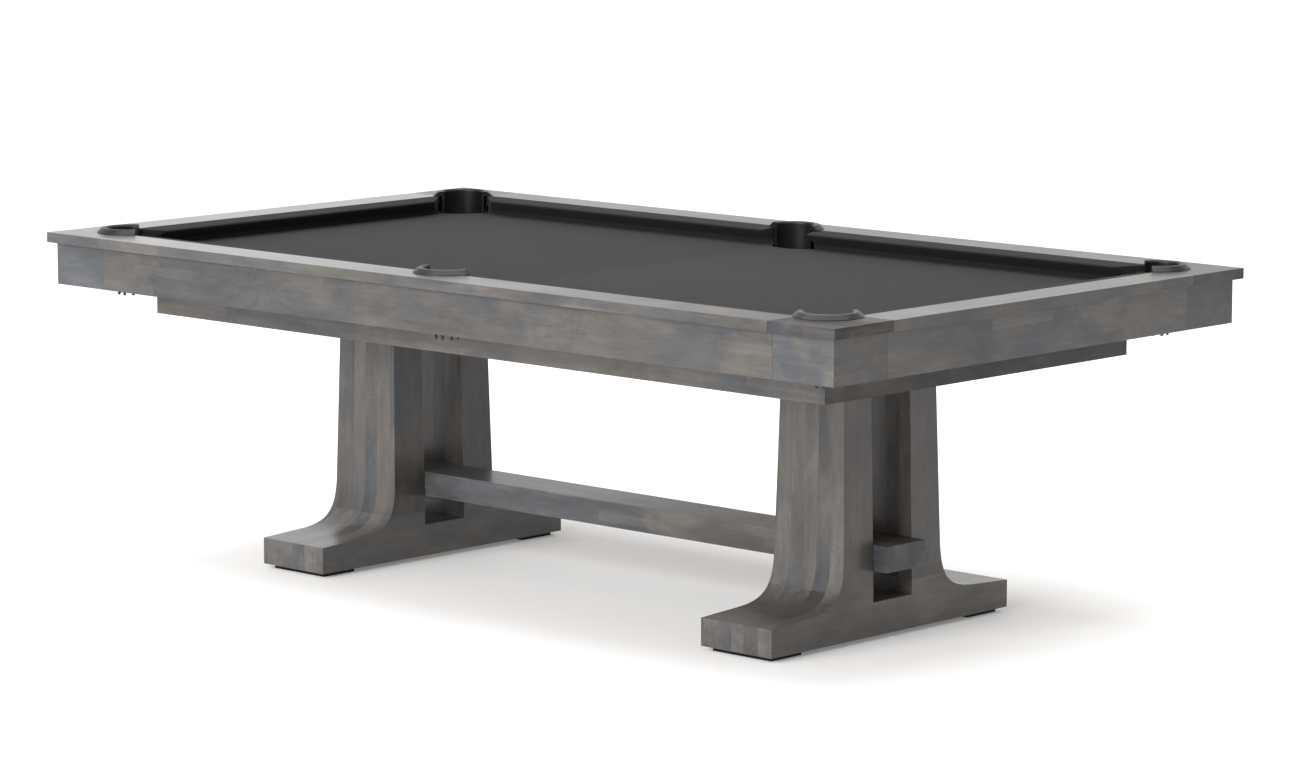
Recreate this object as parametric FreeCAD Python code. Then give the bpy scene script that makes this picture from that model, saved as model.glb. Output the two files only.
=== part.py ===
import FreeCAD, Part
import math
import os

# Pool table on two trestle pedestals: slate bed, cloth-covered cushions, wooden rails and drop pockets.
# Millimetres. +X runs along the table, +Y across it, +Z up; the origin is on the floor below its middle.
# front is -Y, rear is +Y, left is -X and right is +X.

V = FreeCAD.Vector
ORIGIN = V(0, 0, 0)
X_AXIS = V(1, 0, 0)
Y_AXIS = V(0, 1, 0)
Z_AXIS = V(0, 0, 1)

# ---- playing surface and heights
PLAY_X = 2235.2 / 2             # nose line of the end cushions
PLAY_Y = 1117.6 / 2             # nose line of the side cushions
BED_TOP = 768.3                 # top of the bed cloth
CAP_TOP = 812.8                 # top of the wooden rails
CLOTH = 1.0
SLATE_THICK = 25.4
SLATE_TOP = BED_TOP - CLOTH
SLATE_BOTTOM = SLATE_TOP - SLATE_THICK

# ---- rails, measured outward from a nose line (u) and upward from the bed (h)
BORDER = 150.0                  # nose line to the outer edge of the cap
CUSHION = 50.4                  # nose line to the wooden cap
CAP_THICK = 24.3
CAP_BOTTOM = CAP_TOP - CAP_THICK
CAP_X = PLAY_X + BORDER
CAP_Y = PLAY_Y + BORDER
CAP_CORNER = 188.0              # side of the square corner blocks in the cap and the apron
OVERHANG = 17.6                 # cap beyond the apron
APRON_THICK = 25.0
APRON_HEIGHT = 102.0
APRON_BOTTOM = CAP_BOTTOM - APRON_HEIGHT
CORE_U = BORDER - OVERHANG - APRON_THICK
RUBBER_U = 31.5                 # back of the cushion rubber, front of the rail core
SEAM = 0.4                      # open line between two boards that butt together

# ---- cushion section, as (u, h)
NOSE = (-4.9, 38.6)             # where the top and the undercut would meet
NOSE_RADIUS = 3.2
CUSHION_BACK_H = 44.3
UNDERCUT = (33.2, 11.0)
CUSHION_FOOT_U = 35.0
CLOTH_TAIL_U = 60.0             # the rail cloth runs this far under the rail

# ---- pockets
CORNER_TIP = 100.0              # nose corner to the cushion tip, along the rail
SIDE_MOUTH = 141.0
CORNER_FACING = math.radians(38)   # facing off the rail's own direction
SIDE_FACING = math.radians(14)     # facing off square to the rail
FACING = 4.0                    # rubber facing, measured along the rail
FACING_SKIN = 1.3               # cloth over the facing, measured along the rail
CORNER_POCKET = (1127.0, 568.0)
SIDE_POCKET_Y = 590.0
CUTOUT_HALF = 67.5              # half width of the cut-out in slate and bed cloth
CORNER_SHELF = (28.0, 8.0)      # pocket centre to the bed's curved edge, at its middle and at its ends
SIDE_SHELF = (35.0, 0.0)
SLATE_NOTCH = 20.0              # pocket centre out to where a slate's corner is cut off
RAIL_HOLE = 60.0
CORE_HOLE = 66.0                # the rail cores stand further back, behind cloth and facing
WALL_INNER = 52.5               # pocket rim: a wall, and a domed collar that rests on the cap
WALL_OUTER = 57.5
COLLAR_OUTER = 77.0
COLLAR_TOP = 65.0               # outer edge of the collar's flat top, before rounding
COLLAR_HEIGHT = 12.0
COLLAR_EDGE = (1.2, 0.6)        # thickness at the collar's outer edge, and its rounding
COLLAR_ROUND = (6.0, 9.0)       # radii on the collar's inner and outer side
WALL_BOTTOM = 744.5
CORNER_ARM = -20.0              # the rim's arms reach this far past the pocket's centre
SIDE_ARM = 0.0
SKIRT_ARM = -4.0                # below the bed the wall reaches only this far
BASKET_TOP = 741.5
BASKET_BOTTOM = 660.5
BASKET_WALL = 5.0

# ---- slate bed
SLATE_X = 1195.0
SLATE_Y = 636.0
SLATE_JOINT = 398.3
BACKER_THICK = 19.0
BACKER_Y = 540.0                # inner edge of the long backers
BACKER_X = 1100.0               # inner edge of the end backers
BACKER_SPAN = (78.0, 1048.0)    # the long backers run between the side and corner pockets
BACKER_END = 488.0              # half length of the end backers
SCREW_X = (120.0, 650.0, 1020.0)
SCREW_Y = 200.0                 # screws into the end boards
SCREW_SEAM = 20.0               # screws either side of a slate joint
PIN_Y = 300.0

# ---- frame under the slate
FRAME_X = 1079.0
FRAME_Y = 522.8
FRAME_BOTTOM = 613.8
FRAME_BOARD = 38.0
FRAME_IN_X = FRAME_X - FRAME_BOARD
FRAME_IN_Y = FRAME_Y - FRAME_BOARD
PLATE_THICK = 38.1
PLATE_TOP = FRAME_BOTTOM + PLATE_THICK
PLATE_HALF = 130.0
BEAM_HALF = 38.0
CENTRE_HALF = 30.0

# ---- pedestals
PEDESTAL_X = 723.3
FOOT_HALF_X = 105.4
FOOT_HALF_Y = 409.1
PAD_THICK = 11.0
FOOT_END_TOP = 75.0
FOOT_SLOPE = 0.052              # rise of the foot's top towards the posts
POST_JOINT = 122.6              # height of the joint between foot and posts
POST_TOP_Y = 157.5              # outer face of a post at the frame
POST_TAPER = 0.0235             # each side widens by this much per millimetre down
COVE_TOP = 198.0                # where the outer face starts to curve out
COVE_END = 292.0                # where the curve meets the foot's top
COVE_PULL = (92.0, 88.0)        # length of the curve's two end handles
SLOT_HALF = 67.0
NOTCH_FLOOR = 88.2
STRETCHER_X = 867.7
STRETCHER_HALF = 65.2
STRETCHER_Z = (159.5, 219.5)

# ---- fasteners and levelers
FIT = 0.05                      # a drilled hole in wood is this much larger in radius
SCREW = 3.0
SCREW_IN_WOOD = 45.0
PIN = 5.0
PIN_HALF = 30.0
RAIL_BOLT_U = 50.0
RAIL_BOLT = 4.9
RAIL_BOLTS_LONG = (150.0, 555.0, 960.0)
RAIL_BOLTS_END = (-380.0, 0.0, 380.0)
RAIL_BOLT_TOP = 18.0            # above the bed
PLATE_H = (8.2, 14.2)           # nut plates inside the rail cores
BRACKETS_LONG = (250.0, 700.0, 1000.0)
BRACKETS_END = (150.0, 420.0)
BRACKET_DROP = 40.0
BRACKET_THICK = 3.0
FRAME_BOLT_Z = 713.0
FRAME_BOLT = 5.0
FRAME_BOLT_REACH = 110.0
LAG_SINK = (10.0, 13.0)         # depth and radius of the recess round a lag bolt's head
LAG_REACH = 90.0
PLATE_LAG_Y = (-360.0, -220.0, 220.0, 360.0)
POST_BOLT_X = 62.0
POST_BOLT_Y = 114.0
POST_BOLT_SEAT = 27.5           # floor to the heads of the bolts under a foot
POST_BOLT_SINK = 17.0
POST_BOLT_REACH = (80.0, 170.0)    # down from the plate, up from the foot's recess
BOLT_RADIUS = 6.0
DOWEL_RADIUS = 8.0
DOWEL_X = 40.0
DOWEL_REACH = 93.0
PAD_HALF_X = 87.5
PAD_Y = (288.0, 391.0)
STUD_RADIUS = 6.0
STUD = (4.0, 58.0)
STUD_CLEARANCE = 0.3
SOCKET = (2.0, 27.0)            # thickness of its flange, and how far it reaches into the foot
SOCKET_RADIUS = (18.0, 9.0)


# ---------------------------------------------------------------- helpers

PLANES = {
    "YZ": (lambda a, b: V(0, a, b), X_AXIS),
    "XZ": (lambda a, b: V(a, 0, b), Y_AXIS),
    "XY": (lambda a, b: V(a, b, 0), Z_AXIS),
}


def box(x0, x1, y0, y1, z0, z1):
    return Part.makeBox(x1 - x0, y1 - y0, z1 - z0, V(x0, y0, z0))


def upright(x, y, z0, z1, radius):
    return Part.makeCylinder(radius, z1 - z0, V(x, y, z0))


def rod(start, end, radius):
    return Part.makeCylinder(radius, (end - start).Length, start, end - start)


def outline(corners, plane):
    """A closed wire through (a, b) or (a, b, radius) corners, each rounded by its radius."""
    place = PLANES[plane][0]
    flat = [V(corner[0], corner[1], 0) for corner in corners]
    turns = []
    for i, corner in enumerate(corners):
        here = flat[i]
        radius = corner[2] if len(corner) > 2 else 0
        back = (flat[i - 1] - here).normalize()
        ahead = (flat[(i + 1) % len(flat)] - here).normalize()
        half = back.getAngle(ahead) / 2
        trim = radius / math.tan(half)
        middle = here + (back + ahead).normalize() * (radius / math.sin(half) - radius)
        turns.append((here + back * trim, middle, here + ahead * trim, radius))
    edges = []
    for i, (start, middle, end, radius) in enumerate(turns):
        if radius:
            arc = Part.Arc(*[place(p.x, p.y) for p in (start, middle, end)])
            edges.append(arc.toShape())
        following = turns[(i + 1) % len(turns)][0]
        edges.append(Part.LineSegment(place(end.x, end.y), place(following.x, following.y)).toShape())
    return Part.Wire(edges)


def prism(corners, plane, start, end):
    """The outline in a plane, pushed along the plane's normal from start to end."""
    normal = PLANES[plane][1]
    solid = Part.Face(outline(corners, plane)).extrude(normal * (end - start))
    solid.translate(normal * start)
    return solid


def hexagon(centre, direction, across, height):
    """A hexagonal bolt head standing on centre, pointing along direction."""
    points = [V(across / math.sqrt(3) * math.cos(math.radians(a)),
                across / math.sqrt(3) * math.sin(math.radians(a)), 0) for a in range(0, 361, 60)]
    head = Part.Face(Part.makePolygon(points)).extrude(Z_AXIS * height)
    head.Placement = FreeCAD.Placement(centre, FreeCAD.Rotation(Z_AXIS, direction))
    return head


def bolt(seat, direction, shank, radius, across, head_height):
    """A hex bolt: its head stands on seat away from direction, its shank runs along direction."""
    shaft = rod(seat, seat + direction * shank, radius)
    return shaft.fuse(hexagon(seat, direction * -1, across, head_height))


def turned(shape):
    """The same piece on the opposite side of the table."""
    other = shape.copy()
    other.rotate(ORIGIN, Z_AXIS, 180)
    return other


def mirrored(shape, axis):
    return shape.mirror(ORIGIN, axis)


def four(shape):
    """A piece and its three mirror images, one in each quarter of the table."""
    rear = [shape, mirrored(shape, X_AXIS)]
    return rear + [mirrored(piece, Y_AXIS) for piece in rear]


def shifted(shape, x):
    moved = shape.copy()
    moved.translate(V(x, 0, 0))
    return moved


def both_pedestals(shapes):
    """Copies of pieces built at x = 0, moved to the left and the right pedestal."""
    return [shifted(shape, side * PEDESTAL_X) for side in (-1, 1) for shape in shapes]


def write(name, shapes):
    solids = [solid for shape in shapes for solid in shape.Solids]
    whole = solids[0] if len(solids) == 1 else Part.makeCompound(solids)
    whole.exportStep("parts/%s.step" % name)
    sound = all(solid.isValid() and solid.isClosed() and solid.Volume > 0 for solid in solids)
    print("%-24s %3d solids %12.0f mm3 %s" % (name, len(solids), whole.Volume, "ok" if sound else "BAD"))


def pocket_centres():
    corners = [(sx * CORNER_POCKET[0], sy * CORNER_POCKET[1]) for sx in (-1, 1) for sy in (-1, 1)]
    return corners + [(0, -SIDE_POCKET_Y), (0, SIDE_POCKET_Y)]


def pocket_holes(radius, z0, z1):
    return [upright(x, y, z0, z1, radius) for x, y in pocket_centres()]


def rail_bolt_places():
    """Plan position of each rail bolt."""
    along = PLAY_Y + RAIL_BOLT_U
    across = PLAY_X + RAIL_BOLT_U
    long_rails = [(sx * x, sy * along) for x in RAIL_BOLTS_LONG for sx in (-1, 1) for sy in (-1, 1)]
    return long_rails + [(sx * across, y) for y in RAIL_BOLTS_END for sx in (-1, 1)]


def slate_screw_places():
    """Plan position of each screw that holds a slate down on the frame."""
    board_y = FRAME_Y - FRAME_BOARD / 2
    board_x = FRAME_X - FRAME_BOARD / 2
    seam = (SLATE_JOINT - SCREW_SEAM, SLATE_JOINT + SCREW_SEAM)
    quarter = [(x, board_y) for x in SCREW_X + seam] + [(board_x, SCREW_Y)]
    places = [(sx * x, sy * y) for x, y in quarter for sx in (-1, 1) for sy in (-1, 1)]
    return places + [(sx * x, 0) for x in seam for sx in (-1, 1)]


# ---------------------------------------------------------------- rails and cushions

def rail_plan(end_rail, inset):
    """A tall block whose slanted ends follow the pocket facings, set back by inset along the rail."""
    near, far = -10.0, CORE_U
    corner_run = 1 / math.tan(CORNER_FACING)
    if end_rail:
        tip = PLAY_Y - CORNER_TIP - inset
        corners = [(PLAY_X + u, side * (tip + u * corner_run))
                   for u, side in ((near, -1), (near, 1), (far, 1), (far, -1))]
    else:
        side_tip = SIDE_MOUTH / 2 + inset
        corner_tip = PLAY_X - CORNER_TIP - inset
        corners = [(side_tip - near * math.tan(SIDE_FACING), PLAY_Y + near),
                   (corner_tip + near * corner_run, PLAY_Y + near),
                   (corner_tip + far * corner_run, PLAY_Y + far),
                   (side_tip - far * math.tan(SIDE_FACING), PLAY_Y + far)]
    return prism(corners, "XY", BED_TOP - 5, CAP_TOP + 5)


def cushion_section(skin, back):
    """Section of a covered rail, skin deep under the cloth, back to u = back."""
    slope = math.atan2(CUSHION_BACK_H - NOSE[1], CUSHION - NOSE[0])
    under = math.atan2(NOSE[1] - UNDERCUT[1], UNDERCUT[0] - NOSE[0])
    slide = skin / math.sin((slope + under) / 2)
    turn = (slope - under) / 2
    return [(CUSHION, CUSHION_BACK_H - skin),
            (NOSE[0] + slide * math.cos(turn), NOSE[1] + slide * math.sin(turn), NOSE_RADIUS - skin),
            (UNDERCUT[0] + skin, UNDERCUT[1] + skin / 2),
            (CUSHION_FOOT_U + skin, skin),
            (back, skin),
            (back, CAP_BOTTOM - BED_TOP),
            (CUSHION, CAP_BOTTOM - BED_TOP)]


def rail_strip(section, end_rail):
    """A section of (u, h) corners run along a whole rail."""
    plane = "XZ" if end_rail else "YZ"
    line = PLAY_X if end_rail else PLAY_Y
    reach = CAP_Y if end_rail else CAP_X
    corners = [(line + corner[0], BED_TOP + corner[1]) + tuple(corner[2:]) for corner in section]
    return prism(corners, plane, -reach, reach)


def rail_block(u0, u1, h0, h1, end_rail):
    return rail_strip([(u0, h0), (u1, h0), (u1, h1), (u0, h1)], end_rail)


def bracket(u_place, along, end_rail):
    """An angle bracket from a rail core to an apron, with its two screws."""
    if end_rail:
        def at(u, s, h):
            return V(u_place + u, along + s, BED_TOP + h)
        out = X_AXIS
    else:
        def at(u, s, h):
            return V(along + s, u_place + u, BED_TOP + h)
        out = Y_AXIS
    half = 15.0
    leg_u = 25.0
    top = CLOTH

    def slab(u0, u1, h0, h1):
        low, high = at(u0, -half, h0), at(u1, half, h1)
        return box(low.x, high.x, low.y, high.y, low.z, high.z)

    angle = slab(CORE_U - leg_u, CORE_U, top - BRACKET_THICK, top).fuse(
        slab(CORE_U - BRACKET_THICK, CORE_U, top - BRACKET_DROP, top - BRACKET_THICK))
    up_seat = at(CORE_U - 14, 0, top - BRACKET_THICK)
    out_seat = at(CORE_U - BRACKET_THICK, 0, top - BRACKET_DROP + 12)
    screws = []
    for seat, direction in ((up_seat, Z_AXIS), (out_seat, out)):
        screws.append(rod(seat, seat + direction * 18, 2.0).fuse(rod(seat - direction * 2.2, seat, 4.0)))
    holes = [rod(seat - direction, seat + direction * 19, 2.0 + FIT)
             for seat, direction in ((up_seat, Z_AXIS), (out_seat, out))]
    return [angle.cut(holes).removeSplitter()] + screws, holes


def build_rails():
    """Rail cores, feather strips, cushions, facings and rail cloth, one set for each of the six rails."""
    cores, strips, rubbers, facings = [], [], [], []
    cloths = {}
    brackets = []
    bracket_holes = []
    for end_rail, places in ((False, BRACKETS_LONG), (True, BRACKETS_END)):
        line = PLAY_X if end_rail else PLAY_Y
        for along in places:
            pieces, holes = bracket(line, along, end_rail)
            for piece in pieces:
                brackets += four(piece)
            for hole in holes:
                bracket_holes += four(hole)

    places = rail_bolt_places()
    bolt_holes = [upright(x, y, BED_TOP - 5, CAP_BOTTOM - 1, RAIL_BOLT + 0.6) for x, y in places]
    pockets = pocket_holes(RAIL_HOLE, BED_TOP - 5, CAP_TOP + 5)
    wide_pockets = pocket_holes(CORE_HOLE, BED_TOP - 5, CAP_TOP + 5)
    for end_rail in (False, True):
        outer = rail_strip(cushion_section(0, CLOTH_TAIL_U), end_rail)
        inner = rail_strip(cushion_section(CLOTH, CORE_U), end_rail)
        covered = outer.common(rail_plan(end_rail, 0))
        filling = inner.common(rail_plan(end_rail, FACING_SKIN))
        body = inner.common(rail_plan(end_rail, FACING_SKIN + FACING))
        front = rail_block(-10, RUBBER_U, 0, 50, end_rail)

        cloth = covered.cut([filling] + pockets + bolt_holes)
        rubber = body.common(front).cut(pockets)
        facing = filling.cut(body).common(front).cut(pockets)

        groove = rail_block(CUSHION - 6.4, CUSHION, 34.9, 50, end_rail)
        strip = rail_block(CUSHION - 6.2, CUSHION - 0.2, 35.0, CUSHION_BACK_H - 2.2, end_rail)
        strip = strip.common(rail_plan(end_rail, FACING_SKIN + FACING)).cut(wide_pockets)
        slots = []
        for x, y in places:
            low, high = BED_TOP + PLATE_H[0] - 0.3, BED_TOP + PLATE_H[1] + 0.3
            if end_rail:
                start, stop = sorted((math.copysign(PLAY_X + 38, x), math.copysign(PLAY_X + CORE_U + 1, x)))
                slots.append(box(start, stop, y - 17, y + 17, low, high))
            else:
                start, stop = sorted((math.copysign(PLAY_Y + 38, y), math.copysign(PLAY_Y + CORE_U + 1, y)))
                slots.append(box(x - 17, x + 17, start, stop, low, high))
        core = body.cut([front, groove] + wide_pockets + bolt_holes + slots + bracket_holes)

        if end_rail:
            images = {"right": lambda s: s, "left": lambda s: mirrored(s, X_AXIS)}
        else:
            images = {"rear_right": lambda s: s,
                      "rear_left": lambda s: mirrored(s, X_AXIS),
                      "front_right": lambda s: mirrored(s, Y_AXIS),
                      "front_left": turned}
        for side, image in images.items():
            cores.append(image(core))
            strips.append(image(strip))
            rubbers.append(image(rubber))
            facings.append(image(facing))
            cloths[side] = image(cloth)

    write("rail_cores", cores)
    write("feather_strips", strips)
    write("cushion_rubbers", rubbers)
    write("cushion_facings", facings)
    for side, cloth in cloths.items():
        write("rail_cloth_" + side, [cloth])
    write("apron_brackets", brackets)
    return bracket_holes


def build_rail_fasteners():
    """Rail bolts up through backer and slate, with washers, into nut plates inside the rail cores."""
    pieces = []
    seat_z = SLATE_BOTTOM - BACKER_THICK
    for x, y in rail_bolt_places():
        washer = upright(x, y, seat_z - 2.5, seat_z, 14)
        washer = washer.cut(upright(x, y, seat_z - 3, seat_z + 1, RAIL_BOLT + 0.2))
        seat = V(x, y, seat_z - 2.5)
        pieces.append(bolt(seat, Z_AXIS, BED_TOP + RAIL_BOLT_TOP - seat.z, RAIL_BOLT, 16, 7))
        pieces.append(washer)
        low, high = BED_TOP + PLATE_H[0], BED_TOP + PLATE_H[1]
        across_x = abs(x) > PLAY_X
        half_x, half_y = (11, 15) if across_x else (15, 11)
        plate = box(x - half_x, x + half_x, y - half_y, y + half_y, low, high)
        pieces.append(plate.cut(upright(x, y, low - 1, high + 1, RAIL_BOLT + 0.1)))
    write("rail_fasteners", pieces)


def build_caps_and_aprons(bracket_holes):
    """The wooden rail caps and the aprons below them, with their square corner blocks."""
    in_x, in_y = PLAY_X + CUSHION, PLAY_Y + CUSHION
    corner_x, corner_y = CAP_X - CAP_CORNER, CAP_Y - CAP_CORNER
    gap = SEAM / 2
    pockets = pocket_holes(RAIL_HOLE, CAP_BOTTOM - 5, CAP_TOP + 5)

    long_cap = box(-corner_x + gap, corner_x - gap, in_y, CAP_Y, CAP_BOTTOM, CAP_TOP).cut(pockets)
    end_cap = box(in_x, CAP_X, -corner_y + gap, corner_y - gap, CAP_BOTTOM, CAP_TOP).cut(pockets)
    corner_cap = prism([(corner_x + gap, in_y), (in_x, in_y), (in_x, corner_y + gap),
                        (CAP_X, corner_y + gap), (CAP_X, CAP_Y), (corner_x + gap, CAP_Y)],
                       "XY", CAP_BOTTOM, CAP_TOP).cut(pockets)
    write("rail_cap_rear", [long_cap])
    write("rail_cap_front", [turned(long_cap)])
    write("rail_cap_right", [end_cap])
    write("rail_cap_left", [turned(end_cap)])
    names = ("rear_right", "rear_left", "front_right", "front_left")
    for name, piece in zip(names, four(corner_cap)):
        write("corner_cap_" + name, [piece])

    out_x, out_y = CAP_X - OVERHANG, CAP_Y - OVERHANG
    back_x, back_y = out_x - APRON_THICK, out_y - APRON_THICK
    z0, z1 = APRON_BOTTOM, CAP_BOTTOM
    long_apron = box(-corner_x + gap, corner_x - gap, back_y, out_y, z0, z1).cut(bracket_holes)
    end_apron = box(back_x, out_x, -corner_y + gap, corner_y - gap, z0, z1).cut(bracket_holes)
    corner = prism([(corner_x + gap, back_y), (back_x, back_y), (back_x, corner_y + gap),
                    (out_x, corner_y + gap), (out_x, out_y), (corner_x + gap, out_y)], "XY", z0, z1)
    write("apron_rear", [long_apron])
    write("apron_front", [turned(long_apron)])
    write("apron_right", [end_apron])
    write("apron_left", [turned(end_apron)])
    write("apron_corners", four(corner))


# ---------------------------------------------------------------- pockets

def build_pockets():
    """Moulded pocket rims with their walls, and the ribbed baskets that hang below them."""
    top = CAP_TOP + COLLAR_HEIGHT
    wall_bottom = BED_TOP + 0.3
    collar = [(WALL_INNER, wall_bottom), (WALL_OUTER, wall_bottom), (WALL_OUTER, CAP_TOP),
              (COLLAR_OUTER, CAP_TOP), (COLLAR_OUTER, CAP_TOP + COLLAR_EDGE[0], COLLAR_EDGE[1]),
              (COLLAR_TOP, top, COLLAR_ROUND[1]), (WALL_INNER, top, COLLAR_ROUND[0])]
    skirt = [(WALL_INNER, WALL_BOTTOM), (WALL_OUTER, WALL_BOTTOM), (WALL_OUTER, wall_bottom),
             (WALL_INNER, wall_bottom)]

    def spun(section):
        return Part.Face(outline(section, "XZ")).revolve(ORIGIN, Z_AXIS, 360)

    def beyond(start):
        reach = COLLAR_OUTER + 10
        return box(start, reach, -reach, reach, WALL_BOTTOM - 5, top + 5)

    def rim(arm):
        upper = Part.makeSolid(spun(collar).Shells[0]).common(beyond(arm))
        lower = Part.makeSolid(spun(skirt).Shells[0]).common(beyond(max(arm, SKIRT_ARM)))
        return upper.fuse(lower).removeSplitter()

    corner_rim, side_rim = rim(CORNER_ARM), rim(SIDE_ARM)
    outer = [(0, BASKET_BOTTOM), (30, BASKET_BOTTOM, 9), (48, 682, 20), (63, 735, 6), (63, BASKET_TOP)]
    inner = [(63 - BASKET_WALL, BASKET_TOP), (63 - BASKET_WALL, 735, 6), (48 - BASKET_WALL, 684, 18),
             (26, BASKET_BOTTOM + BASKET_WALL, 7), (0, BASKET_BOTTOM + BASKET_WALL)]
    basket = Part.makeSolid(spun(outer + inner).Shells[0])

    baskets = []
    for x, y in pocket_centres():
        shape = corner_rim if x else side_rim
        angle = math.degrees(math.atan2(y / abs(y), x / abs(x) if x else 0))
        piece = shape.copy()
        piece.rotate(ORIGIN, Z_AXIS, angle)
        piece.translate(V(x, y, 0))
        end = "rear" if y > 0 else "front"
        side = "side" if not x else "right" if x > 0 else "left"
        write("pocket_rim_%s_%s" % (end, side), [piece])
        hung = basket.copy()
        hung.translate(V(x, y, 0))
        baskets.append(hung)
    write("pocket_baskets", baskets)


# ---------------------------------------------------------------- slate bed

def bed_cutouts(z0, z1):
    """What the pockets cut out of slates and bed cloth: a wide slot with a curved inner edge.

    Each is drawn with +X pointing out of the table from the pocket's centre. At a corner the slot opens
    into a cut square to the diagonal, which blunts the slate's fingers.
    """
    def cutout(shelf, notch):
        middle, end = shelf
        half, far, wide = CUTOUT_HALF, 160.0, 110.0
        arc = Part.Arc(V(-end, -half, z0), V(-middle, 0, z0), V(-end, half, z0)).toShape()
        if notch:
            corners = [(-end, half), (SLATE_NOTCH, half), (SLATE_NOTCH, wide), (far, wide), (far, -wide),
                       (SLATE_NOTCH, -wide), (SLATE_NOTCH, -half), (-end, -half)]
        else:
            corners = [(-end, half), (far, half), (far, -half), (-end, -half)]
        points = [V(x, y, z0) for x, y in corners]
        lines = [Part.LineSegment(a, b).toShape() for a, b in zip(points, points[1:])]
        return Part.Face(Part.Wire([arc] + lines)).extrude(Z_AXIS * (z1 - z0))

    corner = cutout(CORNER_SHELF, True)
    corner.rotate(ORIGIN, Z_AXIS, 45)
    corner.translate(V(CORNER_POCKET[0], CORNER_POCKET[1], 0))
    side = cutout(SIDE_SHELF, False)
    side.rotate(ORIGIN, Z_AXIS, 90)
    side.translate(V(0, SIDE_POCKET_Y, 0))
    return four(corner) + [side, turned(side)]


def build_slate():
    """Three slates, their wooden backers, seam pins, screws and the bed cloth."""
    bolts = [upright(x, y, SLATE_BOTTOM - BACKER_THICK - 1, BED_TOP + 1, RAIL_BOLT + 1.6)
             for x, y in rail_bolt_places()]
    screws = slate_screw_places()
    sinks = [upright(x, y, SLATE_TOP - 6, SLATE_TOP + 1, 6.6) for x, y in screws]
    shanks = [upright(x, y, SLATE_BOTTOM - 1, SLATE_TOP, SCREW + 0.3) for x, y in screws]
    pin_z = (SLATE_TOP + SLATE_BOTTOM) / 2
    pins = [V(side * SLATE_JOINT, y, pin_z) for side in (-1, 1) for y in (-PIN_Y, PIN_Y)]
    reach = X_AXIS * PIN_HALF
    pin_holes = [rod(pin - reach - X_AXIS, pin + reach + X_AXIS, PIN + FIT) for pin in pins]
    openings = bed_cutouts(SLATE_BOTTOM - 8, BED_TOP + 1)
    cutters = openings + bolts + sinks + shanks + pin_holes
    spans = {"slate_left": (-SLATE_X, -SLATE_JOINT - 0.1),
             "slate_middle": (-SLATE_JOINT + 0.1, SLATE_JOINT - 0.1),
             "slate_right": (SLATE_JOINT + 0.1, SLATE_X)}
    for name, (x0, x1) in spans.items():
        write(name, [box(x0, x1, -SLATE_Y, SLATE_Y, SLATE_BOTTOM, SLATE_TOP).cut(cutters)])
    write("slate_pins", [rod(pin - reach, pin + reach, PIN) for pin in pins])

    heads = []
    for x, y in screws:
        neck = SLATE_TOP - 5.5
        head = Part.makeCone(SCREW, SCREW * 2, 4, V(x, y, neck))
        heads.append(head.fuse(upright(x, y, SLATE_BOTTOM - SCREW_IN_WOOD, neck, SCREW)))
    write("slate_screws", heads)

    low, high = SLATE_BOTTOM - BACKER_THICK, SLATE_BOTTOM
    inner_end, outer_end = BACKER_SPAN
    strips = [box(SLATE_JOINT + 2, outer_end, BACKER_Y, SLATE_Y - 1, low, high),
              box(inner_end, SLATE_JOINT - 2, BACKER_Y, SLATE_Y - 1, low, high)]
    backers = [piece for strip in strips for piece in four(strip)]
    end = box(BACKER_X, SLATE_X - 1, -BACKER_END, BACKER_END, low, high)
    write("slate_backers", [piece.cut(bolts) for piece in backers + [end, turned(end)]])

    x, y = SLATE_X + CLOTH, SLATE_Y + CLOTH
    cloth = box(-x, x, -y, y, SLATE_BOTTOM - 6, BED_TOP)
    cloth = cloth.cut(box(-SLATE_X, SLATE_X, -SLATE_Y, SLATE_Y, SLATE_BOTTOM - 7, SLATE_TOP))
    cloth = cloth.cut(openings + bolts)
    write("bed_cloth", [cloth])


# ---------------------------------------------------------------- frame

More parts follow.
